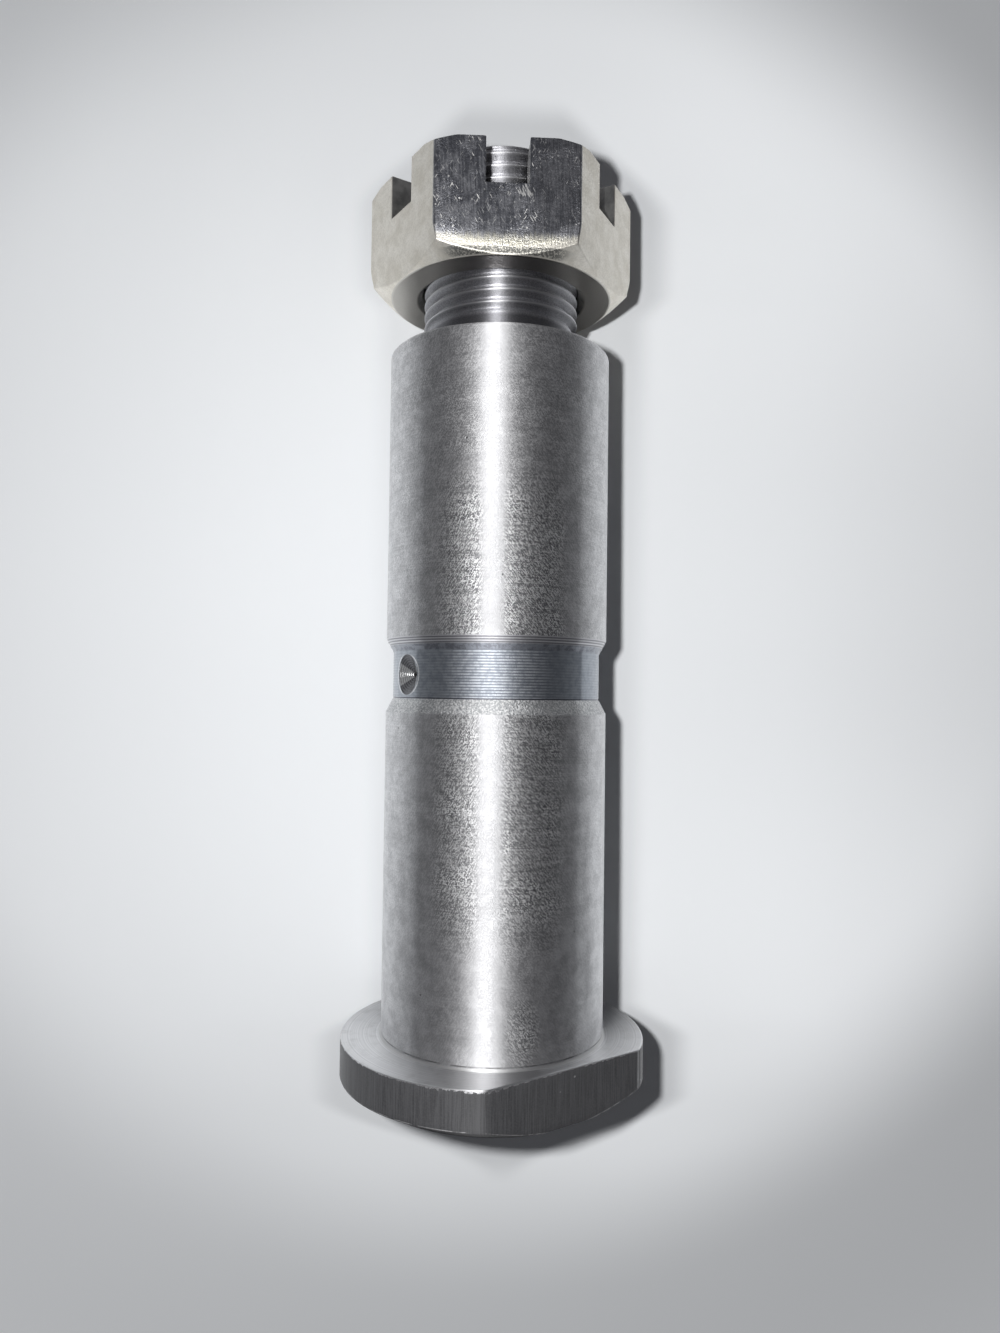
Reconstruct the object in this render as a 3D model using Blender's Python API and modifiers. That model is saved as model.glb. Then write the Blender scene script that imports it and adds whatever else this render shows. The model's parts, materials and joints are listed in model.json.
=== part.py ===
"""Leaf spring pin with its castle nut, lying as it comes to rest.

The pin is one turned piece: a round head with one flat, a ground shank with a grease groove,
and a threaded stud. The slotted nut is run part of the way onto the stud.
Each piece is modelled along its own +Z. Zero on the pin's axis is the inner face of the head,
and the stud's end is positive. Angles around the axis are counted from straight up towards +X.
"""
import math

import bpy
from mathutils import Vector

# Pin: head
HEAD_RADIUS = 0.019
HEAD_THICKNESS = 0.0065
HEAD_EDGE = 0.0002            # edge break at the inner face
HEAD_CHAMFER = 0.0032         # radial width of the chamfer at the outer face
HEAD_CHAMFER_ANGLE = math.radians(30)
FLAT_DISTANCE = 0.0155        # from the axis to the flat cut on the head
FLAT_ANGLE = math.radians(32)

# Pin: shank
SHANK_RADIUS = 0.014
SHANK_LENGTH = 0.0855         # from the head's inner face to the shoulder
SHANK_CHAMFER = 0.0004
HEAD_FILLET = 0.0015          # between the shank and the head
GROOVE_CENTRE = 0.04475       # from the head's inner face
GROOVE_WIDTH = 0.0091         # across the groove's outer edges
GROOVE_DEPTH = 0.0009
GROOVE_SLOPE = 0.0017         # length of each sloping side along the axis

# Pin: threaded stud
STUD_LENGTH = 0.0233          # beyond the shoulder
THREAD_PITCH = 0.0015
THREAD_RADIUS = 0.00985       # over the crests
STUD_CHAMFER = 0.0009
NECK_RADIUS = 0.0093          # thread runout next to the shoulder
NECK_LENGTH = 0.0035

# Pin: drillings
GREASE_HOLE_RADIUS = 0.0024   # from the groove to the axis
GREASE_HOLE_TURN = math.radians(90)   # from the head's flat to the hole
FEED_RADIUS = 0.0025          # along the axis, from the head's outer face
FEED_SINK = 0.001             # countersink at its mouth
COTTER_RADIUS = 0.002
COTTER_FROM_END = 0.0055
COTTER_ANGLE = math.radians(30)

# Castle nut
NUT_FLATS = 0.0292
NUT_HEIGHT = 0.0137
NUT_TURNS_OPEN = 5            # whole turns left before the nut meets the shoulder
NUT_CLEARANCE = 0.0003        # between the crests and the plain bore
NUT_SEAT_RADIUS = 0.01402
NUT_SEAT_ANGLE = math.radians(33)
NUT_TOP_RADIUS = 0.01565
NUT_TOP_ANGLE = math.radians(30)
NUT_BORE_CHAMFER = 0.0006
SLOT_WIDTH = 0.0051
SLOT_DEPTH = 0.0054
SLOT_CUTS = 3                 # each cut crosses the nut and makes two slots

# Meshing
STEPS = 96                    # sides of a turned shape
HOLE_SIDES = 32
ARC_POINTS = 7
OVERSHOOT = 0.001             # how far a cutter runs past what it cuts
MERGE = 0.000001
SHARP_ANGLE = math.radians(20)

GREASE_HOLE_ANGLE = FLAT_ANGLE - GREASE_HOLE_TURN
PIN_END = SHANK_LENGTH + STUD_LENGTH
NUT_SEAT = SHANK_LENGTH + NUT_TURNS_OPEN * THREAD_PITCH
NUT_CORNER = NUT_FLATS / 2 / math.cos(math.radians(30))

# The head's inner edge and the far end of the nut's lower flat both touch the floor.
TILT = math.atan((HEAD_RADIUS - NUT_FLATS / 2) / (NUT_SEAT + NUT_HEIGHT + HEAD_EDGE))


def clear_scene():
    """Removes every object and every collection."""
    for obj in list(bpy.data.objects):
        bpy.data.objects.remove(obj, do_unlink=True)
    for collection in list(bpy.data.collections):
        bpy.data.collections.remove(collection)


def new_collection(name):
    """Adds a collection to the scene."""
    collection = bpy.data.collections.new(name)
    bpy.context.scene.collection.children.link(collection)
    return collection


def new_material(name, color, metallic, roughness):
    """Makes a plain Principled material."""
    material = bpy.data.materials.new(name)
    material.use_nodes = True
    shader = material.node_tree.nodes["Principled BSDF"]
    shader.inputs["Base Color"].default_value = (*color, 1.0)
    shader.inputs["Metallic"].default_value = metallic
    shader.inputs["Roughness"].default_value = roughness
    return material


def new_object(name, mesh, collection, parent, location=(0, 0, 0), turn=0.0):
    """Adds a mesh object, turned about its own Z and placed under its parent."""
    obj = bpy.data.objects.new(name, mesh)
    collection.objects.link(obj)
    obj.parent = parent
    obj.location = location
    obj.rotation_euler.z = turn
    return obj


def new_empty(name, collection, parent=None, location=(0, 0, 0)):
    """Adds an empty that carries pieces."""
    empty = bpy.data.objects.new(name, None)
    empty.empty_display_size = 0.01
    collection.objects.link(empty)
    empty.parent = parent
    empty.location = location
    return empty


def turned(name, profile, collection, parent, closed=False):
    """Turns a profile of (radius, height) points, which runs down the outer side, about Z."""
    mesh = bpy.data.meshes.new(name)
    edges = [(i, i + 1) for i in range(len(profile) - 1)]
    if closed:
        edges.append((len(profile) - 1, 0))
    mesh.from_pydata([(radius, 0.0, height) for radius, height in profile], edges, [])
    obj = new_object(name, mesh, collection, parent)
    screw = obj.modifiers.new("Turn", "SCREW")
    screw.axis = "Z"
    screw.steps = STEPS
    screw.render_steps = STEPS
    screw.use_merge_vertices = True
    screw.merge_threshold = MERGE
    screw.use_smooth_shade = False
    return obj


def as_cutter(obj):
    """Marks an object as a shape that only cuts others."""
    obj.hide_render = True
    obj.display_type = "WIRE"
    return obj


def cylinder_mesh(name, radius, depth, sides):
    """Makes a closed cylinder along Z with its middle at the origin."""
    bpy.ops.mesh.primitive_cylinder_add(vertices=sides, radius=radius, depth=depth)
    return take_primitive(name)


def box_mesh(name, size):
    """Makes a closed box with its middle at the origin."""
    bpy.ops.mesh.primitive_cube_add(size=1)
    bpy.context.object.scale = size
    bpy.ops.object.transform_apply(location=False, rotation=False, scale=True)
    return take_primitive(name)


def take_primitive(name):
    """Keeps the mesh of the primitive just added and removes its object."""
    obj = bpy.context.object
    mesh = obj.data
    mesh.name = name
    bpy.data.objects.remove(obj, do_unlink=True)
    return mesh


def boolean(obj, cutter, operation="DIFFERENCE"):
    """Cuts one object by another."""
    modifier = obj.modifiers.new(cutter.name, "BOOLEAN")
    modifier.operation = operation
    modifier.object = cutter
    modifier.solver = "EXACT"


def arc(centre, radius, start, end, points=ARC_POINTS):
    """Points on an arc around a centre, with angles from the +radius direction."""
    steps = [start + (end - start) * i / (points - 1) for i in range(points)]
    return [(centre[0] + radius * math.cos(a), centre[1] + radius * math.sin(a)) for a in steps]


def pin_profile():
    """The pin's outline from the stud's end down to the head's outer face."""
    groove_top = GROOVE_CENTRE + GROOVE_WIDTH / 2
    groove_bottom = GROOVE_CENTRE - GROOVE_WIDTH / 2
    groove_radius = SHANK_RADIUS - GROOVE_DEPTH
    neck_top = SHANK_LENGTH + NECK_LENGTH
    chamfer_height = HEAD_CHAMFER * math.tan(HEAD_CHAMFER_ANGLE)
    stud = [
        (0.0, PIN_END),
        (THREAD_RADIUS - STUD_CHAMFER, PIN_END),
        (THREAD_RADIUS, PIN_END - STUD_CHAMFER),
        (THREAD_RADIUS, neck_top + THREAD_RADIUS - NECK_RADIUS),
        (NECK_RADIUS, neck_top),
        (NECK_RADIUS, SHANK_LENGTH),
    ]
    shank = [
        (SHANK_RADIUS - SHANK_CHAMFER, SHANK_LENGTH),
        (SHANK_RADIUS, SHANK_LENGTH - SHANK_CHAMFER),
        (SHANK_RADIUS, groove_top),
        (groove_radius, groove_top - GROOVE_SLOPE),
        (groove_radius, groove_bottom + GROOVE_SLOPE),
        (SHANK_RADIUS, groove_bottom),
    ]
    fillet_centre = (SHANK_RADIUS + HEAD_FILLET, HEAD_FILLET)
    fillet = arc(fillet_centre, HEAD_FILLET, math.pi, 1.5 * math.pi)
    head = [
        (HEAD_RADIUS - HEAD_EDGE, 0.0),
        (HEAD_RADIUS, -HEAD_EDGE),
        (HEAD_RADIUS, chamfer_height - HEAD_THICKNESS),
        (HEAD_RADIUS - HEAD_CHAMFER, -HEAD_THICKNESS),
        (0.0, -HEAD_THICKNESS),
    ]
    return stud + shank + fillet + head


def head_flat_cutter(collection, parent):
    """Block that takes the flat off the head, outside the shank."""
    reach = HEAD_RADIUS - FLAT_DISTANCE + OVERSHOOT
    height = HEAD_THICKNESS + 2 * OVERSHOOT
    mesh = box_mesh("flat_cut", (2 * HEAD_RADIUS, reach, height))
    distance = FLAT_DISTANCE + reach / 2
    place = (distance * math.sin(FLAT_ANGLE), -distance * math.cos(FLAT_ANGLE), -HEAD_THICKNESS / 2)
    return as_cutter(new_object("flat_cut", mesh, collection, parent, place, FLAT_ANGLE))


def radial_hole_cutter(name, radius, length, angle, height, collection, parent, through=False):
    """Drill across the axis at a height: from the axis outwards, or right through the pin."""
    mesh = cylinder_mesh(name, radius, 2 * length if through else length, HOLE_SIDES)
    offset = 0.0 if through else length / 2
    place = (offset * math.sin(angle), -offset * math.cos(angle), height)
    drill = new_object(name, mesh, collection, parent, place, angle)
    drill.rotation_euler.x = math.pi / 2
    return as_cutter(drill)


def feed_cutter(collection, parent):
    """Drill along the axis from the head's outer face to the grease hole, with a countersink."""
    bottom = -HEAD_THICKNESS
    profile = [
        (0.0, GROOVE_CENTRE),
        (FEED_RADIUS, GROOVE_CENTRE),
        (FEED_RADIUS, bottom + FEED_SINK),
        (FEED_RADIUS + FEED_SINK + OVERSHOOT, bottom - OVERSHOOT),
        (0.0, bottom - OVERSHOOT),
    ]
    return as_cutter(turned("feed_drill", profile, collection, parent))


def make_pin(parts, cutters, parent, material):
    """The turned, drilled pin."""
    pin = turned("spring_pin", pin_profile(), parts, parent)
    pin.data.materials.append(material)
    boolean(pin, head_flat_cutter(cutters, parent))
    boolean(pin, feed_cutter(cutters, parent))
    boolean(pin, radial_hole_cutter("grease_drill", GREASE_HOLE_RADIUS, SHANK_RADIUS + OVERSHOOT,
                                    GREASE_HOLE_ANGLE, GROOVE_CENTRE, cutters, parent))
    boolean(pin, radial_hole_cutter("cotter_drill", COTTER_RADIUS, THREAD_RADIUS + OVERSHOOT,
                                    COTTER_ANGLE, PIN_END - COTTER_FROM_END, cutters, parent, True))
    return pin


def nut_profile():
    """The nut's turned blank: both chamfers outside, the bore with its own chamfers inside."""
    outer = NUT_CORNER + OVERSHOOT
    bore = THREAD_RADIUS + NUT_CLEARANCE
    mouth = bore + NUT_BORE_CHAMFER
    return [
        (mouth, NUT_HEIGHT),
        (NUT_TOP_RADIUS, NUT_HEIGHT),
        (outer, NUT_HEIGHT - (outer - NUT_TOP_RADIUS) * math.tan(NUT_TOP_ANGLE)),
        (outer, (outer - NUT_SEAT_RADIUS) * math.tan(NUT_SEAT_ANGLE)),
        (NUT_SEAT_RADIUS, 0.0),
        (mouth, 0.0),
        (bore, NUT_BORE_CHAMFER),
        (bore, NUT_HEIGHT - NUT_BORE_CHAMFER),
    ]


def make_nut(parts, cutters, parent, material):
    """The castle nut: a turned blank, a hexagon and slots through the middle of its flats."""
    nut = turned("castle_nut", nut_profile(), parts, parent, closed=True)
    nut.data.materials.append(material)
    hexagon_height = NUT_HEIGHT + 2 * OVERSHOOT
    hexagon_mesh = cylinder_mesh("nut_hexagon", NUT_CORNER, hexagon_height, 6)
    middle = (0, 0, NUT_HEIGHT / 2)
    # The first corner of the primitive points along Y, so a twelfth turn brings the flats there.
    hexagon = as_cutter(new_object("nut_hexagon", hexagon_mesh, cutters, parent, middle, math.radians(30)))
    boolean(nut, hexagon, "INTERSECT")
    slot_mesh = box_mesh("slot_cut", (SLOT_WIDTH, 2 * NUT_CORNER + OVERSHOOT, SLOT_DEPTH + OVERSHOOT))
    slot_middle = (0, 0, NUT_HEIGHT - SLOT_DEPTH + (SLOT_DEPTH + OVERSHOOT) / 2)
    for i in range(SLOT_CUTS):
        turn = math.pi * i / SLOT_CUTS
        slot = new_object(f"slot_cut_{i + 1}", slot_mesh, cutters, parent, slot_middle, turn)
        boolean(nut, as_cutter(slot))
    return nut


def shade_round(obj):
    """Applies the modifiers, then shades round faces smooth and keeps the real edges sharp."""
    depsgraph = bpy.context.evaluated_depsgraph_get()
    mesh = bpy.data.meshes.new_from_object(obj.evaluated_get(depsgraph))
    mesh.shade_smooth()
    mesh.set_sharp_from_angle(angle=SHARP_ANGLE)
    mesh.name = obj.name
    obj.modifiers.clear()
    obj.data = mesh


def stand_on_floor(carrier, pieces):
    """Moves the carrier so that the pieces' box stands on the floor, centred on the origin."""
    bpy.context.view_layer.update()
    depsgraph = bpy.context.evaluated_depsgraph_get()
    points = []
    for piece in pieces:
        evaluated = piece.evaluated_get(depsgraph)
        points += [evaluated.matrix_world @ vertex.co for vertex in evaluated.data.vertices]
    low = Vector([min(point[i] for point in points) for i in range(3)])
    high = Vector([max(point[i] for point in points) for i in range(3)])
    middle = (low + high) / 2
    carrier.location -= Vector((middle.x, middle.y, low.z))


clear_scene()
part_collection = new_collection("leaf_spring_pin")
cutter_collection = new_collection("cutters")
pin_steel = new_material("pin_steel", (0.42, 0.42, 0.43), 1.0, 0.3)
nut_zinc = new_material("nut_zinc", (0.62, 0.60, 0.54), 1.0, 0.35)

pin_axis = new_empty("pin_axis", part_collection)
pin_axis.rotation_euler.x = -math.pi / 2 - TILT
nut_axis = new_empty("nut_axis", part_collection, pin_axis, (0, 0, NUT_SEAT))

spring_pin = make_pin(part_collection, cutter_collection, pin_axis, pin_steel)
castle_nut = make_nut(part_collection, cutter_collection, nut_axis, nut_zinc)
shade_round(spring_pin)
shade_round(castle_nut)
stand_on_floor(pin_axis, [spring_pin, castle_nut])
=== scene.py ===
"""Leaf spring pin with its castle nut, lying on white paper under a small flash."""
import json
import math

import bmesh
import bpy
import numpy as np
from mathutils import Matrix, Vector


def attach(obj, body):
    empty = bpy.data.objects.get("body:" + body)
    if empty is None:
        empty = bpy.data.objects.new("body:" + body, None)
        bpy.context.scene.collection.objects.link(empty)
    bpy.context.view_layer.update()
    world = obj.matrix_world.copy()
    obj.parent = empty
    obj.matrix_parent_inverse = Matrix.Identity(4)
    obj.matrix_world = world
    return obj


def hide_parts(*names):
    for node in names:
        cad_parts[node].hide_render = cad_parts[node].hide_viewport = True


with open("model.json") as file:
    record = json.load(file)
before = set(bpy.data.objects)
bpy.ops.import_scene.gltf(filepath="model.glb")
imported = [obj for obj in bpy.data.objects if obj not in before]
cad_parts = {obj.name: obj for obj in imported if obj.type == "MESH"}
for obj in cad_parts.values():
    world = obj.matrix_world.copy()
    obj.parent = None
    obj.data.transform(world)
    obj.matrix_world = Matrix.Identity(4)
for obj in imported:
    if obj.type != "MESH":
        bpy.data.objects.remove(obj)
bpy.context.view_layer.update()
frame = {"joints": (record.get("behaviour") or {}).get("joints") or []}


# The pin
# One bar of alloy steel, turned, rolled with a fine thread at one end, and ground on the shank.
# The head has one milled flat, which stops it from turning in the spring hanger.
# A grease drilling runs up from the head and comes out in the groove.

# Places along the axis are in millimetres from the head's inner face.
MM = 0.001
NUT_SEAT = 93.0
nut_turn = frame["joints"][0]
AXIS = np.array(nut_turn["axis"])
SIDE = np.array([1.0, 0.0, 0.0])
UP = np.array([0.0, -AXIS[2], AXIS[1]])
AXIS_START = np.array(nut_turn["pos_m"]) - NUT_SEAT * MM * AXIS


def about_the_axis(angle, radius, along):
    """Points around the pin's axis: the start of the axis, plus the distance along it, plus the
    radius towards an angle that is counted from straight up towards +X. Millimetres and radians
    go in, as arrays of one shape, and metres come out."""
    outward = np.sin(angle)[..., None] * SIDE + np.cos(angle)[..., None] * UP
    return AXIS_START + MM * (radius[..., None] * outward + along[..., None] * AXIS)


def grid_faces(rows, columns, shift=0, start=0):
    """Corner numbers of the faces between neighbours on a grid that closes on itself sideways.
    The last column meets the first one, `shift` rows further up."""
    row, column = np.meshgrid(np.arange(rows - 1), np.arange(columns), indexing="ij")
    beside = (column + 1) % columns
    rise = np.where(column == columns - 1, shift, 0)
    faces = np.stack([row * columns + column,
                      (row + rise) * columns + beside,
                      (row + 1 + rise) * columns + beside,
                      (row + 1) * columns + column], axis=-1)
    faces = faces.reshape(-1, 4)
    return faces[faces.max(axis=1) < rows * columns] + start


def in_scene(name, data):
    """An object with this mesh, camera or light, put in the scene."""
    made = bpy.data.objects.new(name, data)
    bpy.context.scene.collection.objects.link(made)
    return made


def solid(name, points, faces, sharp):
    """One closed mesh from points and faces. Points that share a place become one, faces point
    outwards, and edges that turn by more than `sharp` degrees stay crisp."""
    mesh = bpy.data.meshes.new(name)
    mesh.from_pydata(points.reshape(-1, 3).tolist(), [], faces.tolist())
    shape = bmesh.new()
    shape.from_mesh(mesh)
    bmesh.ops.remove_doubles(shape, verts=shape.verts, dist=0.0005 * MM)
    bmesh.ops.recalc_face_normals(shape, faces=shape.faces)
    shape.to_mesh(mesh)
    shape.free()
    finish_shading(mesh, sharp)
    return in_scene(name, mesh)


def finish_shading(mesh, sharp):
    """Smooth shading, with crisp edges where faces turn by more than `sharp` degrees."""
    mesh.shade_smooth()
    mesh.set_sharp_from_angle(angle=math.radians(sharp))


def cut(piece, drills, sharp):
    """Takes the drills out of the piece and keeps the plain mesh that is left."""
    for drill in drills:
        step = piece.modifiers.new(drill.name, "BOOLEAN")
        step.operation, step.solver, step.object = "DIFFERENCE", "MANIFOLD", drill
    seen = piece.evaluated_get(bpy.context.evaluated_depsgraph_get())
    mesh = bpy.data.meshes.new_from_object(seen)
    piece.modifiers.clear()
    piece.data = mesh
    finish_shading(mesh, sharp)
    for drill in drills:
        bpy.data.objects.remove(drill, do_unlink=True)


def drill(name, profile, place, direction, sides=40):
    """A cutter: a profile of (radius, depth) points carried around a direction from a place."""
    radius, depth = np.array(profile, float).T
    turn = np.linspace(0, 2 * math.pi, sides, endpoint=False)
    side = np.cross(direction, [0.3, 0.2, 0.9])
    side /= np.linalg.norm(side)
    other = np.cross(direction, side)
    ring = np.cos(turn)[:, None] * side + np.sin(turn)[:, None] * other
    points = place + MM * (radius[:, None, None] * ring + depth[:, None, None] * direction)
    return solid(name, points, grid_faces(len(profile), sides), 30)


HEAD_RADIUS, HEAD_THICKNESS, HEAD_EDGE = 19.0, 6.5, 0.2
CHAMFER_START, CHAMFER_SLOPE = 15.8, math.tan(math.radians(30))
FLAT_ANGLE, FLAT_DISTANCE = math.radians(32), 15.5
SHANK_RADIUS, SHANK_END, FILLET = 14.0, 85.5, 0.3
GROOVE = (40.2, 41.9, 47.6, 49.3)   # where its slopes start and end
GROOVE_DEPTH, GROOVE_FEED = 0.9, 0.3367     # the feed is the distance between its tool lines
HOLE_AT, COTTER_AT = 44.75, 103.3
NECK_RADIUS = 9.3
STUD_RADIUS, STUD_END, TIP_RADIUS, PITCH = 9.85, 108.8, 8.95, 1.5
THREAD_START = 88.5
CREST_AT = 89.53                    # a crest on the upper side

# Even columns, with closer ones where the head's flat starts and ends.
flat_reach = math.acos(FLAT_DISTANCE / HEAD_RADIUS)
flat_ends = FLAT_ANGLE + np.array([-flat_reach, flat_reach])
close_by = (flat_ends[:, None] + np.radians([-1.2, -0.6, -0.25, 0, 0.25, 0.6, 1.2])).ravel()
even = np.arange(192) * 2 * math.pi / 192
apart = np.abs((even[:, None] - close_by + math.pi) % (2 * math.pi) - math.pi).min(axis=1)
angle = np.sort(np.concatenate([even[apart > math.radians(0.9)], close_by % (2 * math.pi)]))
columns = len(angle)


def head_reach():
    """The head's outline: its radius, cut off by the flat at FLAT_DISTANCE, with the two
    corners between them rounded by a soft minimum."""
    turn = np.cos(angle - FLAT_ANGLE)
    flat = np.where(turn > 0.3, FLAT_DISTANCE / np.maximum(turn, 0.3), 60.0)
    softness = 0.22
    return -softness * np.logaddexp(-HEAD_RADIUS / softness, -flat / softness)


def groove_depth(along):
    """How far the groove lies under the shank: a flat bottom between two straight slopes, with
    turning rings on the bottom, three steps of the tool on the upper slope and a fine nick
    where the lower slope starts."""
    depth = GROOVE_DEPTH * np.interp(along, GROOVE, [0, 1, 1, 0])
    bottom = np.clip(np.minimum(along - GROOVE[1], GROOVE[2] - along) / 0.15, 0, 1)
    depth += bottom * 0.011 * np.cos(2 * math.pi * along / GROOVE_FEED)
    slope = np.clip(np.minimum(along - GROOVE[2], GROOVE[3] - along) / 0.2, 0, 1)
    depth += slope * 0.03 * np.sin(2 * math.pi * along / 0.55)
    nick = 0.05 * np.exp(-((along - GROOVE[1] - 0.05) / 0.06) ** 2)
    return depth + nick


def thread_radius(along):
    """The thread at an angle and a place along the axis: a sawtooth of the distance to the
    nearest crest, cut off at crest and root, fading into the neck and cut by the end chamfer."""
    turned = (along - CREST_AT) / PITCH - angle / (2 * math.pi)
    from_crest = np.abs(turned - np.round(turned)) * PITCH
    half_crest, flank, depth = 0.10, 1.73, 0.88
    fall = np.clip((from_crest - half_crest) * flank, 0.0, depth)
    fall += 0.05 * np.clip(from_crest / 0.13, 0, 1) ** 2
    grown = np.clip((along - THREAD_START) / 0.7, 0, 1)
    radius = NECK_RADIUS + (STUD_RADIUS - fall - NECK_RADIUS) * grown * grown * (3 - 2 * grown)
    return np.minimum(radius, TIP_RADIUS + (STUD_END - along))


def pin_rows():
    """Radius and distance along the axis for each row below the thread, from the middle of the
    head's outer face up to the neck. The head's rows follow its outline."""
    reach = head_reach()
    ones = np.ones(columns)
    rim = np.minimum(CHAMFER_START, reach - 0.15)
    chamfer_top = -HEAD_THICKNESS + np.maximum((reach - CHAMFER_START) * CHAMFER_SLOPE, 0.1)
    face_start = SHANK_RADIUS + FILLET
    rows = [(r * ones, -HEAD_THICKNESS * ones) for r in (0.0, 4.0, 9.0, 13.0)]
    rows += [(rim - 0.1, -HEAD_THICKNESS * ones), (rim, -(HEAD_THICKNESS - 0.03) * ones)]
    rows += [(reach - 0.05, chamfer_top - 0.03), (reach, chamfer_top + 0.05)]
    for part in np.linspace(0, 1, 9)[1:-1]:
        rows.append((reach, chamfer_top * (1 - part) - HEAD_EDGE * part))
    for turn in np.radians([0, 30, 60, 90]):
        rows.append((reach - HEAD_EDGE * (1 - math.cos(turn)),
                     -HEAD_EDGE * (1 - math.sin(turn)) * ones))
    for part in (0.03, 0.35, 0.7, 0.97):
        rows.append((reach - HEAD_EDGE + (face_start - reach + HEAD_EDGE) * part, 0 * ones))
    for turn in np.linspace(0, math.pi / 2, 8):
        rows.append(((face_start - FILLET * math.sin(turn)) * ones,
                     FILLET * (1 - math.cos(turn)) * ones))
    rows += [(SHANK_RADIUS * ones, u * ones) for u in np.linspace(2, 39, 12)]
    bottom = np.arange(GROOVE[1], GROOVE[2], GROOVE_FEED / 5)
    across = np.concatenate([np.linspace(GROOVE[0] - 0.2, GROOVE[1], 22)[:-1], bottom,
                             np.linspace(GROOVE[2], GROOVE[3] + 0.2, 24)])
    rows += [((SHANK_RADIUS - depth) * ones, u * ones)
             for u, depth in zip(across, groove_depth(across))]
    rows += [(SHANK_RADIUS * ones, u * ones) for u in np.linspace(52, 84.5, 12)]
    shoulder = [(SHANK_RADIUS, 85.02), (13.97, 85.14), (13.66, 85.45), (13.55, SHANK_END),
                (11.5, SHANK_END), (9.6, SHANK_END), (9.39, 85.56), (NECK_RADIUS, 85.75),
                (NECK_RADIUS, 86.6), (NECK_RADIUS, 87.6)]
    rows += [(r * ones, u * ones) for r, u in shoulder]
    return np.array(rows).transpose(1, 0, 2)


def whole_pin():
    """The rows below the thread, then the thread on rows that climb one pitch a turn and are
    held between its two ends, then the end face. Rows held at an end share their places."""
    radius, along = pin_rows()
    plain_rows = len(radius)
    from_crest = np.array([-0.75, -0.66, -0.60, -0.52, -0.34, -0.17, -0.09,
                           0.0, 0.09, 0.17, 0.34, 0.52, 0.60, 0.66])
    turns = int((STUD_END - THREAD_START) / PITCH) + 3
    climb = (np.arange(turns)[:, None] + from_crest / PITCH + 0.5).ravel()
    root = CREST_AT - PITCH / 2
    first = root - PITCH * math.ceil((root - THREAD_START + PITCH) / PITCH)
    height = first + PITCH * (climb[:, None] + angle / (2 * math.pi))
    height = np.clip(height, THREAD_START, STUD_END)
    thread = thread_radius(height)
    tip = np.array([8.8, 8.0, 5.0, 2.0, 0.0])[:, None] * np.ones(columns)
    faces = np.concatenate([
        grid_faces(plain_rows + 1, columns),
        grid_faces(len(height), columns, shift=len(from_crest), start=plain_rows * columns),
        grid_faces(len(tip) + 1, columns, start=(plain_rows + len(height) - 1) * columns)])
    radius = np.concatenate([radius, thread, tip])
    along = np.concatenate([along, height, np.full_like(tip, STUD_END)])
    return about_the_axis(angle + 0 * radius, radius, along), faces


pin = solid("ground_pin", *whole_pin(), sharp=40)
hole_angle = FLAT_ANGLE - math.pi / 2
hole_way = math.sin(hole_angle) * SIDE + math.cos(hole_angle) * UP
hole_place = AXIS_START + MM * HOLE_AT * AXIS
cotter_angle = math.radians(30)
cotter_way = math.sin(cotter_angle) * SIDE + math.cos(cotter_angle) * UP
cotter_place = AXIS_START + MM * COTTER_AT * AXIS
cut(pin, [
    drill("grease_drill", [(0, -1.0), (0.35, -1.0), (0.35, 11.85), (2.35, 13.0), (2.55, 13.15),
                           (2.55, 16), (0, 16)], hole_place, hole_way),
    drill("feed_drill", [(0, -1.0), (4.5, -1.0), (2.5, 1.0), (2.5, 51.2), (0, 51.2)],
          AXIS_START - MM * HEAD_THICKNESS * AXIS, AXIS),
    drill("cotter_drill", [(0, -12), (2, -12), (2, 12), (0, 12)], cotter_place, cotter_way),
], sharp=40)


def add(tree, kind, inputs=None, **settings):
    """Adds a shader node to a tree. An input is given by its name or number, and is either a
    value or another node's output, which is then linked to it."""
    made = tree.nodes.new("ShaderNode" + kind)
    for key, value in settings.items():
        setattr(made, key, value)
    for key, value in (inputs or {}).items():
        if isinstance(value, bpy.types.NodeSocket):
            tree.links.new(value, made.inputs[key])
        else:
            made.inputs[key].default_value = value
    return made


def sum_up(tree, operation, *values):
    """One Math node's result, of values or other nodes' outputs."""
    return add(tree, "Math", dict(enumerate(values)), operation=operation).outputs[0]


def vectors(tree, operation, *values):
    """One Vector Math node's result: a number for a length, a distance or a dot product."""
    made = add(tree, "VectorMath", dict(enumerate(values)), operation=operation)
    return made.outputs["Value" if operation in ("LENGTH", "DISTANCE", "DOT_PRODUCT") else "Vector"]


def times(tree, first, *others):
    """The product of masks and numbers."""
    for other in others:
        first = sum_up(tree, "MULTIPLY", first, other)
    return first


def highest(tree, first, *others):
    """The largest of several masks and numbers."""
    for other in others:
        first = sum_up(tree, "MAXIMUM", first, other)
    return first


def unsigned(tree, value):
    """The value without its sign."""
    return sum_up(tree, "ABSOLUTE", value)


def rest_of(tree, mask):
    """What a mask leaves out."""
    return sum_up(tree, "SUBTRACT", 1.0, mask)


def noise(tree, place, scale, roughness=0.6):
    """Cloudy noise with five octaves, around 0.5."""
    inputs = {"Vector": place, "Scale": scale, "Detail": 5.0, "Roughness": roughness}
    return add(tree, "TexNoise", inputs).outputs["Fac"]


def ramp(tree, value, low, high, start=0.0, end=1.0):
    """A smooth step: `start` where the value is `low`, `end` where it is `high`."""
    inputs = {"Value": value, "From Min": low, "From Max": high, "To Min": start, "To Max": end}
    return add(tree, "MapRange", inputs, interpolation_type="SMOOTHSTEP").outputs["Result"]


def between(tree, value, low, high, soft):
    """A mask: 1 where the value lies between two limits, fading to 0 within `soft` of them."""
    return times(tree, ramp(tree, value, low - soft, low),
                 ramp(tree, value, high, high + soft, 1.0, 0.0))


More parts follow.
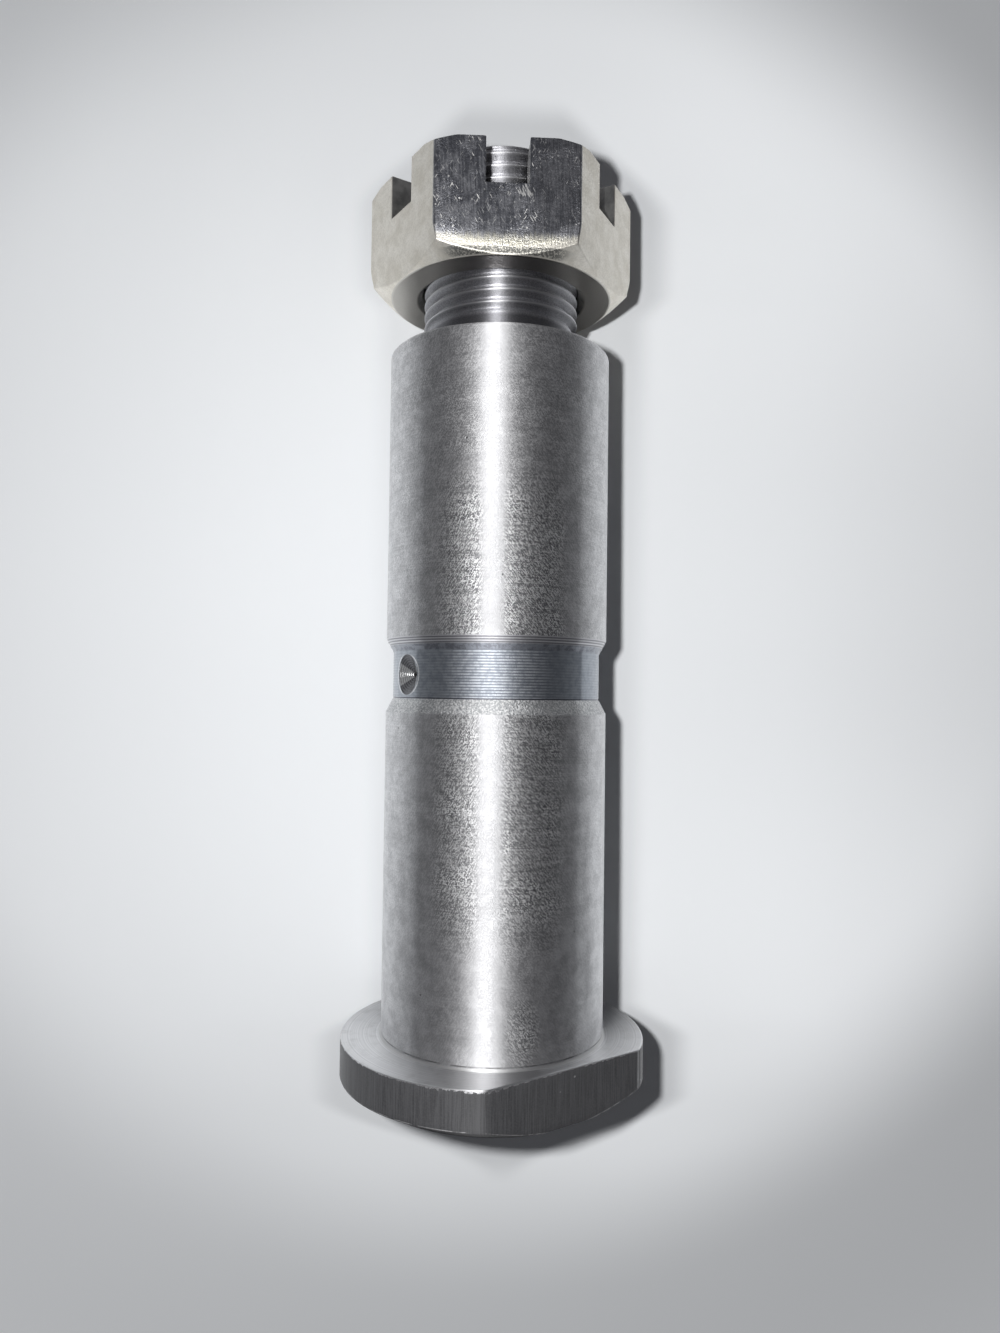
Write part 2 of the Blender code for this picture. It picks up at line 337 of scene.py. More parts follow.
def area(tree, place, middle, reach):
    """A mask: 1 in the middle of an ellipse and 0 beyond its reach in each direction."""
    away = vectors(tree, "DIVIDE", vectors(tree, "SUBTRACT", place, middle), reach)
    return ramp(tree, vectors(tree, "LENGTH", away), 1.0, 0.45)


def blend_colours(tree, share, first, second):
    """One colour turning into another as the share goes from 0 to 1."""
    made = add(tree, "Mix", {"Factor": share}, data_type="RGBA")
    for socket, colour in ((made.inputs[6], first), (made.inputs[7], second)):
        if isinstance(colour, bpy.types.NodeSocket):
            tree.links.new(colour, socket)
        else:
            socket.default_value = (*colour, 1)
    return made.outputs[2]


def effect(name, inputs, outputs):
    """An empty shader node group. Its inputs and outputs are given as names with their kinds."""
    tree = bpy.data.node_groups.new(name, "ShaderNodeTree")
    for way, sockets in (("INPUT", inputs), ("OUTPUT", outputs)):
        for socket, kind in sockets.items():
            tree.interface.new_socket(socket, in_out=way, socket_type="NodeSocket" + kind)
    return tree, tree.nodes.new("NodeGroupInput").outputs, tree.nodes.new("NodeGroupOutput").inputs


def use(tree, group, inputs):
    """Places a node group in a tree and gives its outputs."""
    return add(tree, "Group", inputs, node_tree=group).outputs


def new_look(name):
    """A new material, its node tree and its main shader."""
    look = bpy.data.materials.new(name)
    look.use_nodes = True
    return look, look.node_tree, look.node_tree.nodes["Principled BSDF"]


def connect(tree, shader, metallic, colour, rough, height):
    """Links the main shader to its values. The height is in millimetres and shows as bumps."""
    bump = add(tree, "Bump", {"Height": height, "Distance": MM, "Strength": 1.0}).outputs[0]
    for name, value in (("Metallic", metallic), ("Base Color", colour), ("Roughness", rough),
                        ("Normal", bump)):
        tree.links.new(value, shader.inputs[name])


# Unrolled: millimetres around the pin from its upper side, along it, and out from its axis.
# Straight: the same place, not unrolled, as millimetres to the side, along the axis and up.
unrolled, given, result = effect("unrolled", {"Object": "Vector"},
                                 {"Place": "Vector", "Straight": "Vector"})
place = vectors(unrolled, "SUBTRACT", given["Object"], AXIS_START)
place = vectors(unrolled, "DIVIDE", place, (MM, MM, MM))
side, up, along = (vectors(unrolled, "DOT_PRODUCT", place, way) for way in (SIDE, UP, AXIS))
straight = add(unrolled, "CombineXYZ", {0: side, 1: along, 2: up}).outputs[0]
out = sum_up(unrolled, "ADD", times(unrolled, side, side), times(unrolled, up, up))
out = sum_up(unrolled, "SQRT", out)
turned = times(unrolled, sum_up(unrolled, "ARCTAN2", side, up), SHANK_RADIUS)
flat = add(unrolled, "CombineXYZ", {0: turned, 1: along, 2: out}).outputs[0]
unrolled.links.new(flat, result["Place"])
unrolled.links.new(straight, result["Straight"])

# Streaks: noise drawn out along one direction, which is turned by an angle in the X-Y plane.
# Its height is centred on zero.
streaks, given, result = effect(
    "streaks", {"Place": "Vector", "Turn": "Float", "Length": "Float", "Width": "Float",
                "Detail": "Float"}, {"Height": "Float"})
turn_by = add(streaks, "CombineXYZ", {2: given["Turn"]}).outputs[0]
spun = add(streaks, "VectorRotate", {"Vector": given["Place"], "Rotation": turn_by},
           rotation_type="EULER_XYZ").outputs[0]
short = sum_up(streaks, "DIVIDE", 1.0, given["Width"])
long = sum_up(streaks, "DIVIDE", 1.0, given["Length"])
stretch = add(streaks, "CombineXYZ", {0: long, 1: short, 2: long}).outputs[0]
spun = vectors(streaks, "MULTIPLY", spun, stretch)
drawn_out = add(streaks, "TexNoise", {"Vector": spun, "Scale": 1.0, "Detail": given["Detail"],
                                      "Roughness": 0.6}).outputs["Fac"]
streaks.links.new(sum_up(streaks, "SUBTRACT", drawn_out, 0.5), result["Height"])


def streak_height(tree, place, turn, length, width, detail):
    """The height of streaks, by their angle in degrees and their size in millimetres."""
    return use(tree, streaks, {"Place": place, "Turn": math.radians(turn), "Length": length,
                               "Width": width, "Detail": detail})["Height"]


# Grain: fine isotropic noise that comes and goes in patches. Its height is centred on zero.
grain, given, result = effect(
    "grain", {"Place": "Vector", "Size": "Float", "Patch": "Float", "Least": "Float"},
    {"Height": "Float", "Patches": "Float", "Spots": "Float"})
scale = sum_up(grain, "DIVIDE", 1.0, given["Size"])
fine = add(grain, "TexNoise", {"Vector": given["Place"], "Scale": scale, "Detail": 2.0,
                               "Roughness": 0.7}).outputs["Fac"]
scale = sum_up(grain, "DIVIDE", 1.0, given["Patch"])
large = add(grain, "TexNoise", {"Vector": given["Place"], "Scale": scale,
                                "Detail": 2.0}).outputs["Fac"]
patches = sum_up(grain, "MAXIMUM", ramp(grain, large, 0.40, 0.62), given["Least"])
grain.links.new(times(grain, sum_up(grain, "SUBTRACT", fine, 0.5), patches), result["Height"])
grain.links.new(patches, result["Patches"])
grain.links.new(ramp(grain, fine, 0.40, 0.62), result["Spots"])

# Specks: small round marks, scattered by a cell pattern and thinned out by chance.
specks, given, result = effect(
    "specks", {"Place": "Vector", "Spacing": "Float", "Size": "Float", "Kept": "Float"},
    {"Mask": "Float"})
scale = sum_up(specks, "DIVIDE", 1.0, given["Spacing"])
cells = add(specks, "TexVoronoi", {"Vector": given["Place"], "Scale": scale})
reach = times(specks, cells.outputs["Distance"], given["Spacing"])
spot = ramp(specks, sum_up(specks, "DIVIDE", reach, given["Size"]), 0.4, 1.0, 1.0, 0.0)
chance = add(specks, "SeparateColor", {0: cells.outputs["Color"]}).outputs[0]
spot = times(specks, spot, sum_up(specks, "LESS_THAN", chance, given["Kept"]))
specks.links.new(spot, result["Mask"])


def speck_mask(tree, place, spacing, size, kept):
    """A mask of specks, by their spacing and size in millimetres and the share that is kept."""
    return use(tree, specks, {"Place": place, "Spacing": spacing, "Size": size,
                              "Kept": kept})["Mask"]


pin_steel, tree, shader = new_look("pin_steel")
shader.inputs["Anisotropic"].default_value = 0.88
shader.inputs["Anisotropic Rotation"].default_value = 0.25
tangent = add(tree, "Tangent", direction_type="RADIAL", axis="Y").outputs[0]
tree.links.new(tangent, shader.inputs["Tangent"])
place, straight = use(tree, unrolled, {"Object": add(tree, "TexCoord").outputs["Object"]}).values()
parts = add(tree, "SeparateXYZ", {0: place}).outputs
around, along, out = parts[0], parts[1], parts[2]

# Grinding lines run round the shank, scratches cross them, and a scuffed grain lies over both.
# They are fresh on the upper side around the groove and in one patch near the head.
from_top = unsigned(tree, around)
rings = streak_height(tree, straight, 0, 9.0, 0.14, 3.0)
hatch = streak_height(tree, place, 48, 0.7, 0.12, 1.0)
hatch_too = streak_height(tree, place, -58, 0.7, 0.12, 1.0)
scuff = use(tree, grain, {"Place": straight, "Size": 0.16, "Patch": 4.0, "Least": 0.75})
blotch = noise(tree, straight, 0.5)
pits = speck_mask(tree, place, 2.4, 0.17, 0.20)
glints = speck_mask(tree, place, 0.9, 0.13, 0.16)
fresh = times(tree, between(tree, along, 20.0, 62.0, 12.0),
              ramp(tree, from_top, 9.0, 5.5, 0.3, 1.0))
fresh = highest(tree, fresh, ramp(tree, along, 40.0, 60.0, 0.20, 0.36),
                times(tree, area(tree, place, (3.0, 4.0, SHANK_RADIUS), (2.8, 5.5, 40.0)), 0.8))

# Some marks have a place of their own: scratches that lean to one side, arcs left by something
# that turned against the shank, and a row of small dents beside them.
leaning = area(tree, place, (3.4, 57.0, SHANK_RADIUS), (4.5, 9.0, 40.0))
from_middle = vectors(tree, "DISTANCE", place, (0.6, 29.4, SHANK_RADIUS))
arcs = add(tree, "TexNoise", {"W": from_middle, "Scale": 3.2, "Detail": 2.0},
           noise_dimensions="1D").outputs["Fac"]
arcs = times(tree, sum_up(tree, "SUBTRACT", arcs, 0.5),
             area(tree, place, (-4.4, 30.0, SHANK_RADIUS), (3.6, 9.0, 40.0)))
dent_row = times(tree, area(tree, place, (-8.8, 24.5, SHANK_RADIUS), (0.35, 7.0, 40.0)),
                 speck_mask(tree, place, 0.8, 0.2, 0.6))

height = times(tree, rings, 0.008)
scuffed = times(tree, scuff["Patches"], fresh)
height = sum_up(tree, "MULTIPLY_ADD", times(tree, hatch_too, scuffed), 0.010, height)
lean = sum_up(tree, "MULTIPLY_ADD", leaning, 2.0, scuffed)
height = sum_up(tree, "MULTIPLY_ADD", times(tree, hatch, lean), 0.010, height)
height = sum_up(tree, "MULTIPLY_ADD", times(tree, scuff["Height"], fresh), 0.030, height)
height = sum_up(tree, "MULTIPLY_ADD", arcs, 0.014, height)
height = sum_up(tree, "MULTIPLY_ADD", sum_up(tree, "ADD", pits, dent_row), -0.02, height)

# Where nothing rubbed it, at both sides, the grind is still smooth and mirrors the room.
rubbed = ramp(tree, from_top, 11.4, 9.4)
spotted = sum_up(tree, "MULTIPLY_ADD", scuff["Spots"], 0.12, 0.24)
rough = sum_up(tree, "MULTIPLY_ADD", rubbed, spotted, 0.38)

# The scuffs are light and dark strokes that lean one way on the left and the other way on the
# right. A line along the top is polished nearly clean of them.
from_line = unsigned(tree, sum_up(tree, "ADD", around, 1.15))
cloudy = highest(tree, ramp(tree, blotch, 0.35, 0.65), ramp(tree, from_line, 3.0, 1.0, 0.0, 0.6))
colour = blend_colours(tree, cloudy, (0.49, 0.49, 0.50), (0.65, 0.65, 0.66))
leaned = sum_up(tree, "MULTIPLY_ADD", sum_up(tree, "SUBTRACT", hatch, hatch_too),
                ramp(tree, around, -2.0, 1.0), hatch_too)
under = sum_up(tree, "MULTIPLY_ADD", rings, 0.4, times(tree, scuff["Height"], 1.3))
strokes = ramp(tree, sum_up(tree, "MULTIPLY_ADD", leaned, 0.9, under), -0.11, 0.11)
patches = times(tree, scuffed, ramp(tree, from_line, 0.7, 2.2, 0.12, 1.0),
                ramp(tree, along, 38.0, 46.0, 0.85, 1.0))
colour = blend_colours(tree, times(tree, strokes, patches), colour, (0.97, 0.97, 0.97))
dark_strokes = times(tree, rest_of(tree, strokes), patches, 0.90)
colour = blend_colours(tree, dark_strokes, colour, (0.15, 0.15, 0.16))
colour = blend_colours(tree, times(tree, glints, fresh), colour, (0.95, 0.95, 0.95))
colour = blend_colours(tree, times(tree, pits, 0.7), colour, (0.14, 0.14, 0.14))
colour = blend_colours(tree, dent_row, colour, (0.95, 0.95, 0.95))

# The groove keeps its turning lines, has a blue tint with stains, and is painted darker at both
# sides as shade. Its lower
#  slope is pitted, and its upper one shows the steps of the tool.
in_groove = between(tree, along, GROOVE[1], GROOVE[2] + 0.1, 0.1)
lines = ramp(tree, sum_up(tree, "COSINE", times(tree, along, 2 * math.pi / GROOVE_FEED)), -0.9, 0.2)
stain = ramp(tree, noise(tree, straight, 1.3, 0.7), 0.44, 0.60)
blue = blend_colours(tree, stain, (0.66, 0.69, 0.73), (0.46, 0.49, 0.54))
# Painted shade: the groove darkens towards both sides.
painted_side_shade = sum_up(tree, "ADD", ramp(tree, around, 4.0, 7.0, 0.0, 0.6),
                 ramp(tree, around, -5.0, -8.0, 0.0, 0.5))
blue = blend_colours(tree, painted_side_shade, blue, (0.27, 0.30, 0.34))
fine_lines = highest(tree, lines, ramp(tree, from_top, 4.0, 9.0, 0.0, 0.7))
lined = blend_colours(tree, fine_lines, (0.27, 0.29, 0.33), blue)
colour = blend_colours(tree, in_groove, colour, lined)
upper_slope = between(tree, along, GROOVE[2] + 0.1, GROOVE[3], 0.05)
steps = ramp(tree, sum_up(tree, "SINE", times(tree, along, 2 * math.pi / 0.30)), -0.4, 0.4)
stepped = blend_colours(tree, steps, (0.28, 0.28, 0.30), (0.64, 0.64, 0.66))
stained = blend_colours(tree, stain, (0.36, 0.38, 0.42), (0.24, 0.25, 0.28))
stepped = blend_colours(tree, ramp(tree, along, 48.5, 48.3), stepped, stained)
colour = blend_colours(tree, upper_slope, colour, stepped)
lower_slope = between(tree, along, GROOVE[0], GROOVE[1] - 0.05, 0.05)
coarse = use(tree, grain, {"Place": straight, "Size": 0.24, "Patch": 3.0, "Least": 0.8})
pitted = blend_colours(tree, coarse["Spots"], (0.48, 0.49, 0.50), (0.80, 0.80, 0.80))
colour = blend_colours(tree, lower_slope, colour, pitted)
height = sum_up(tree, "MULTIPLY_ADD", times(tree, coarse["Height"], lower_slope), 0.10, height)
# Painted shade: a dark line in the nick where the lower slope starts.
nick = between(tree, along, GROOVE[1] + 0.03, GROOVE[1] + 0.1, 0.04)
colour = blend_colours(tree, nick, colour, (0.10, 0.10, 0.12))
rough = sum_up(tree, "MULTIPLY_ADD", lower_slope, 0.10, rough)
rough = highest(tree, rough, times(tree, in_groove, ramp(tree, from_top, 12.8, 11.6), 0.66))

# The mouth of the drilling in the groove is a cone with the rings of the tool that cut it. Its
# colour is painted: a light bow-tie around the pin as a painted sheen, dark along the pin as
# painted shade, and a painted highlight on its rim.
mouth = (hole_angle * SHANK_RADIUS, HOLE_AT, 0.0)
to_mouth_radius = (12.9 / SHANK_RADIUS, 1.0, 0.0)
from_hole = vectors(tree, "MULTIPLY", vectors(tree, "SUBTRACT", place, mouth), to_mouth_radius)
hole_parts = add(tree, "SeparateXYZ", {0: from_hole}).outputs
from_hole = vectors(tree, "LENGTH", from_hole)
floor = SHANK_RADIUS - GROOVE_DEPTH
in_hole = times(tree, ramp(tree, from_hole, 2.70, 2.65),
                ramp(tree, out, floor - 0.015, floor - 0.04))
hole_side, hole_along = unsigned(tree, hole_parts[0]), unsigned(tree, hole_parts[1])
# Painted sheen and shade: light wedges around the pin, dark wedges along it.
painted_sheen_wedge = ramp(tree, sum_up(tree, "MULTIPLY_ADD", hole_side, -0.8, hole_along), 0.15, -0.15)
cone = blend_colours(tree, painted_sheen_wedge, (0.17, 0.17, 0.18), (0.60, 0.60, 0.60))
colour = blend_colours(tree, in_hole, colour, cone)
# Painted highlight: a bright ring at the edge of the mouth, brightest at its two sides around the
# pin.
rim = times(tree, between(tree, from_hole, 2.44, 2.54, 0.05),
            ramp(tree, hole_side, 0.6, 1.8, 0.1, 1.0))
colour = blend_colours(tree, rim, colour, (0.85, 0.85, 0.85))
cut_rings = times(tree, sum_up(tree, "SINE", times(tree, from_hole, 2 * math.pi / 0.25)), in_hole)
height = sum_up(tree, "MULTIPLY_ADD", cut_rings, 0.022, height)

# The stud is painted darker, as shade from the shoulder and the nut around it, with its crests
# rubbed bright, and its neck is painted almost black as shade under the shoulder.
on_stud = ramp(tree, along, SHANK_END - 0.15, SHANK_END)
crest = times(tree, ramp(tree, out, STUD_RADIUS - 0.3, STUD_RADIUS - 0.05),
              ramp(tree, along, THREAD_START, THREAD_START + 0.5))
stud = blend_colours(tree, scuff["Spots"], (0.34, 0.34, 0.36), (0.50, 0.50, 0.52))
stud = blend_colours(tree, crest, stud, (0.58, 0.58, 0.60))
# Painted shade: the neck under the shoulder is nearly black.
painted_neck_shade = ramp(tree, along, THREAD_START + 0.1, THREAD_START - 0.5, 0.0, 0.7)
stud = blend_colours(tree, painted_neck_shade, stud, (0.12, 0.12, 0.13))
colour = blend_colours(tree, on_stud, colour, stud)
rough = blend_colours(tree, on_stud, rough, (0.47, 0.47, 0.47))

# The head's inner face is turned bright, and is painted darker at its top as shade. A painted
# highlight makes a bright ring at the
#  foot of the shank, and there is a fine dark line above that.
on_face = times(tree, ramp(tree, along, -0.15, -0.02),
                ramp(tree, out, SHANK_RADIUS, SHANK_RADIUS + 0.2), ramp(tree, along, 1.0, 0.6))
turned_rings = add(tree, "TexNoise", {"W": out, "Scale": 5.0, "Detail": 3.0},
                   noise_dimensions="1D").outputs["Fac"]
ring_height = times(tree, sum_up(tree, "SUBTRACT", turned_rings, 0.5), on_face)
height = sum_up(tree, "MULTIPLY_ADD", ring_height, 0.012, height)
face = ramp(tree, turned_rings, 0.3, 0.7)
face = blend_colours(tree, face, (0.66, 0.66, 0.67), (0.78, 0.78, 0.79))
face = blend_colours(tree, times(tree, ramp(tree, blotch, 0.5, 0.7), 0.4), face, (0.5, 0.5, 0.5))
# Painted shade: the face is darker at its top.
shade = sum_up(tree, "ADD", ramp(tree, from_top, 7.0, 2.0, 0.0, 0.45),
               times(tree, between(tree, around, 1.6, 4.2, 1.4), 0.25))
face = blend_colours(tree, shade, face, (0.34, 0.34, 0.35))
colour = blend_colours(tree, on_face, colour, face)
# Painted highlight: a bright, rougher ring at the foot of the shank.
painted_foot_highlight = times(tree, ramp(tree, along, 0.28, 0.22),
             ramp(tree, out, SHANK_RADIUS + 0.22, SHANK_RADIUS + 0.16),
             ramp(tree, out, SHANK_RADIUS - 0.1, SHANK_RADIUS))
colour = blend_colours(tree, painted_foot_highlight, colour, (0.66, 0.66, 0.66))
face_rough = blend_colours(tree, painted_foot_highlight, (0.40, 0.40, 0.40), (0.60, 0.60, 0.60))
rough = blend_colours(tree, highest(tree, on_face, painted_foot_highlight), rough, face_rough)
line = times(tree, between(tree, along, 0.40, 0.50, 0.07),
             ramp(tree, out, SHANK_RADIUS + 0.2, SHANK_RADIUS + 0.05),
             ramp(tree, blotch, 0.35, 0.60, 0.1, 0.75))
colour = blend_colours(tree, line, colour, (0.12, 0.12, 0.12))

# The rest of the head kept the dark skin and the faint lines of the drawn bar. It is worn
# through in places on the rim, on the edge of the chamfer, at one corner and at a few nicks.
drawn = streak_height(tree, place, 90, 5.0, 0.13, 2.0)
worn_rim = area(tree, place, (-2.6, -0.3, HEAD_RADIUS), (4.6, 1.5, 9.0))
worn_rim = sum_up(tree, "MULTIPLY_ADD", worn_rim, 0.16, 0.10)
wear = times(tree, ramp(tree, stain, 0.0, 1.0), worn_rim)
on_head = ramp(tree, sum_up(tree, "ADD", along, wear), -0.20, -0.08, 1.0, 0.0)
from_end = sum_up(tree, "ADD", along, HEAD_THICKNESS)
from_chamfer = sum_up(tree, "MULTIPLY_ADD", sum_up(tree, "SUBTRACT", out, CHAMFER_START),
                      -CHAMFER_SLOPE, from_end)
chamfer_edge = times(tree, between(tree, from_chamfer, 0.07, 0.11, 0.05),
                     ramp(tree, blotch, 0.42, 0.58), ramp(tree, along, -1.0, -2.0))
nicks = speck_mask(tree, place, 1.7, 0.16, 0.12)
from_corner = unsigned(tree, sum_up(tree, "SUBTRACT", around, flat_ends[1] * SHANK_RADIUS))
corner = times(tree, ramp(tree, from_corner, 0.14, 0.06, 0.0, 0.8),
               ramp(tree, out, HEAD_RADIUS - 0.8, HEAD_RADIUS - 0.4))
bare = highest(tree, chamfer_edge, nicks, corner)
skin = times(tree, on_head, rest_of(tree, times(tree, bare, 0.8)))
dark_side = ramp(tree, drawn, -0.2, 0.2)
dark_side = blend_colours(tree, dark_side, (0.054, 0.054, 0.058), (0.092, 0.092, 0.098))
dark_side = blend_colours(tree, times(tree, scuff["Spots"], 0.3), dark_side, (0.13, 0.13, 0.13))
colour = blend_colours(tree, skin, colour, dark_side)
height = sum_up(tree, "MULTIPLY_ADD", times(tree, drawn, on_head), 0.01, height)
rough = sum_up(tree, "MULTIPLY_ADD", skin, 0.04, rough)
metallic = sum_up(tree, "MULTIPLY_ADD", skin, -0.88, 1.0)
connect(tree, shader, metallic, colour, rough, height)
pin.data.materials.clear()
pin.data.materials.append(pin_steel)
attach(pin, "pin")
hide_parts("spring_pin")


# The castle nut
# A zinc-plated hexagon nut with six slots, chamfered at both ends. It is run part of the way
# onto the stud. Its seat end is worn round, and the upper flat is scuffed bare.

NUT_HEIGHT, NUT_APOTHEM = 13.7, 14.6
BORE_MOUTH = 10.75                  # the radius where its chamfers meet both end faces
RIDGE_RADIUS, BORE_RADIUS = 10.02, 10.18
SEAT_RADIUS, SEAT_SLOPE = 14.02, math.tan(math.radians(33))
TOP_RADIUS, TOP_SLOPE = 15.65, math.tan(math.radians(30))
WORN, WORN_HEIGHT = 0.40, 2.2
SLOT_HALF, SLOT_FLOOR = 2.55, 8.3


def nut_columns():
    """Angles around the nut: the same steps over each flat, with columns on the six corners and
    where the top chamfer starts, and none close to the edges of the slots."""
    start = math.degrees(math.acos(NUT_APOTHEM / TOP_RADIUS))
    half = np.array([0, 2.5, 5, 7.2, 12.6, 15, 17.5, 19.5, start, 23, 25, 27, 28.7, 30])
    flat = np.unique(np.concatenate([-half, half]))[:-1]
    return np.radians((np.arange(6)[:, None] * 60 + flat).ravel())


def nut_blank():
    """The blank: a loop of rows around its section, from the seat face over the outside and the
    top face and back down the bore. The outside follows the hexagon, the cones at both ends
    cut its corners, and the last two millimetres above the seat cone are worn inwards. The
    bore has low thread ridges, one a pitch, which stay clear of the stud's crests."""
    turn = nut_columns()
    ones = np.ones(len(turn))
    sector = (turn + math.pi / 6) % (math.pi / 3) - math.pi / 6
    reach = NUT_APOTHEM / np.cos(sector)
    low = (reach - SEAT_RADIUS) * SEAT_SLOPE
    high = NUT_HEIGHT - np.maximum(reach - TOP_RADIUS, 0) * TOP_SLOPE
    rows = [(BORE_MOUTH * ones, 0 * ones), (12.5 * ones, 0 * ones), (SEAT_RADIUS * ones, 0 * ones)]
    for part in (0.0, 0.12, 0.3, 0.5, 0.75, 1.0):
        worn = WORN * (1 - part) ** 1.6
        rows.append((reach - worn, low - WORN * SEAT_SLOPE * (part == 0) + WORN_HEIGHT * part))
    plain = high - low - WORN_HEIGHT
    rows += [(reach, low + WORN_HEIGHT + plain * part) for part in (0.25, 0.6)]
    rows += [(reach, high), (np.minimum(TOP_RADIUS, reach), NUT_HEIGHT * ones)]
    rows += [(12.5 * ones, NUT_HEIGHT * ones)]
    rows += [(BORE_MOUTH * ones, NUT_HEIGHT * ones),
             ((BORE_RADIUS - 0.01) * ones, (NUT_HEIGHT - 0.6) * ones)]
    for step, depth in enumerate(np.arange(NUT_HEIGHT - 1.0, 0.8, -PITCH / 2)):
        rows.append(((RIDGE_RADIUS if step % 2 else BORE_RADIUS) * ones, depth * ones))
    rows += [((BORE_RADIUS - 0.01) * ones, 0.6 * ones), rows[0]]
    radius, along = np.array(rows).transpose(1, 0, 2)
    points = about_the_axis(turn + 0 * radius, radius, along + NUT_SEAT)
    return points, grid_faces(len(rows), len(turn))


def slot_cutter(name, turn):
    """A box across the nut, from the slot's floor to above its top face."""
    across = math.cos(turn) * SIDE - math.sin(turn) * UP
    along = math.sin(turn) * SIDE + math.cos(turn) * UP
    outline = ((-SLOT_HALF, -20), (SLOT_HALF, -20), (SLOT_HALF, 20), (-SLOT_HALF, 20))
    corners = np.array([(x, y, z) for z in (SLOT_FLOOR, 16) for x, y in outline])
    points = AXIS_START + MM * (corners @ np.array([across, along, AXIS]) + NUT_SEAT * AXIS)
    faces = np.array([(0, 3, 2, 1), (4, 5, 6, 7), (0, 1, 5, 4),
                      (1, 2, 6, 5), (2, 3, 7, 6), (3, 0, 4, 7)])
    return solid(name, points, faces, 30)


nut = solid("castle_nut_body", *nut_blank(), sharp=25)
cut(nut, [slot_cutter(f"slot_{i}", math.radians(60 * i)) for i in range(3)], sharp=25)
shape = bmesh.new()
shape.from_mesh(nut.data)
bmesh.ops.dissolve_limit(shape, angle_limit=math.radians(0.2), verts=shape.verts, edges=shape.edges)
shape.to_mesh(nut.data)
shape.free()
rounding = nut.modifiers.new("Edges", "BEVEL")
rounding.width, rounding.segments, rounding.limit_method = 0.12 * MM, 2, "ANGLE"
rounding.angle_limit, rounding.use_clamp_overlap = math.radians(30), False

nut_zinc, tree, shader = new_look("nut_zinc")
place, straight = use(tree, unrolled, {"Object": add(tree, "TexCoord").outputs["Object"]}).values()
parts = add(tree, "SeparateXYZ", {0: straight}).outputs
side, along, up = parts[0], sum_up(tree, "SUBTRACT", parts[1], NUT_SEAT), parts[2]
out = add(tree, "SeparateXYZ", {0: place}).outputs[2]
blotch = noise(tree, straight, 0.45)
scuff = use(tree, grain, {"Place": straight, "Size": 0.22, "Patch": 3.0, "Least": 0.35})
flecks = speck_mask(tree, straight, 0.7, 0.17, 0.30)
colour = blend_colours(tree, ramp(tree, blotch, 0.3, 0.7), (0.77, 0.73, 0.645), (0.93, 0.895, 0.82))
colour = blend_colours(tree, times(tree, scuff["Spots"], 0.25), colour, (0.58, 0.56, 0.51))
rough = sum_up(tree, "MULTIPLY_ADD", scuff["Spots"], 0.10, 0.40)
height = times(tree, scuff["Height"], 0.016)

# The slots and the bore are painted dark as shade. The seat face is painted lighter at its left and
# right and dark between, as
#  painted reflection and shade.
in_slot = 0.0
for turn in np.radians([0, 60, 120]):
    across = sum_up(tree, "MULTIPLY_ADD", side, math.cos(turn), times(tree, up, -math.sin(turn)))
    outward = sum_up(tree, "MULTIPLY_ADD", side, math.sin(turn), times(tree, up, math.cos(turn)))
    box = times(tree, ramp(tree, unsigned(tree, across), SLOT_HALF + 0.09, SLOT_HALF + 0.03),
                ramp(tree, unsigned(tree, outward), NUT_APOTHEM - 0.04, NUT_APOTHEM - 0.12))
    in_slot = highest(tree, box, in_slot)
in_slot = times(tree, in_slot, ramp(tree, along, SLOT_FLOOR - 0.08, SLOT_FLOOR - 0.02))
in_bore = ramp(tree, out, BORE_MOUTH + 0.2, BORE_MOUTH)
on_seat = ramp(tree, along, 0.10, 0.03)
# Painted shade in the slots and the bore.
painted_recess_shade = blend_colours(tree, ramp(tree, blotch, 0.35, 0.65), (0.26, 0.26, 0.255), (0.46, 0.455, 0.44))
colour = blend_colours(tree, highest(tree, in_slot, in_bore), colour, painted_recess_shade)
from_middle = unsigned(tree, side)
# Painted reflection and shade on the seat face: lighter at the left and right, dark in the middle.
seat = ramp(tree, from_middle, 9.0, 3.0)
seat = blend_colours(tree, seat, (0.58, 0.56, 0.52), (0.24, 0.23, 0.22))
colour = blend_colours(tree, on_seat, colour, seat)

# The upper flat lost its plating to knocks and scuffs. It is dark, and painted darker still towards
# +X as shade, with bright scratches and
#  flecks, and its lower end is rubbed round and bright where it wore against the hanger.
on_top = ramp(tree, up, NUT_APOTHEM - 0.4, NUT_APOTHEM - 0.15)
lines = streak_height(tree, straight, 87, 2.6, 0.20, 3.0)
scratches = streak_height(tree, straight, 62, 1.2, 0.15, 1.0)
scratches_too = streak_height(tree, straight, 118, 1.2, 0.15, 1.0)
bright = highest(tree, ramp(tree, scratches, 0.17, 0.22),
                 ramp(tree, scratches_too, 0.18, 0.23), flecks)
bright = times(tree, bright, ramp(tree, scuff["Patches"], 0.4, 0.9, 0.4, 1.0),
               ramp(tree, side, 2.5, 5.0, 1.0, 0.45))
smear = area(tree, straight, (2.2, 100.4, NUT_APOTHEM), (1.6, 1.1, 3.0))
smear = sum_up(tree, "ADD", smear, sum_up(tree, "MULTIPLY_ADD", scratches, 2.5, lines))
smear = times(tree, ramp(tree, smear, 0.85, 1.15), 0.6)
lined = ramp(tree, sum_up(tree, "MULTIPLY_ADD", lines, 0.8, blotch), 0.36, 0.66)
bare = blend_colours(tree, lined, (0.155, 0.16, 0.18), (0.36, 0.365, 0.39))
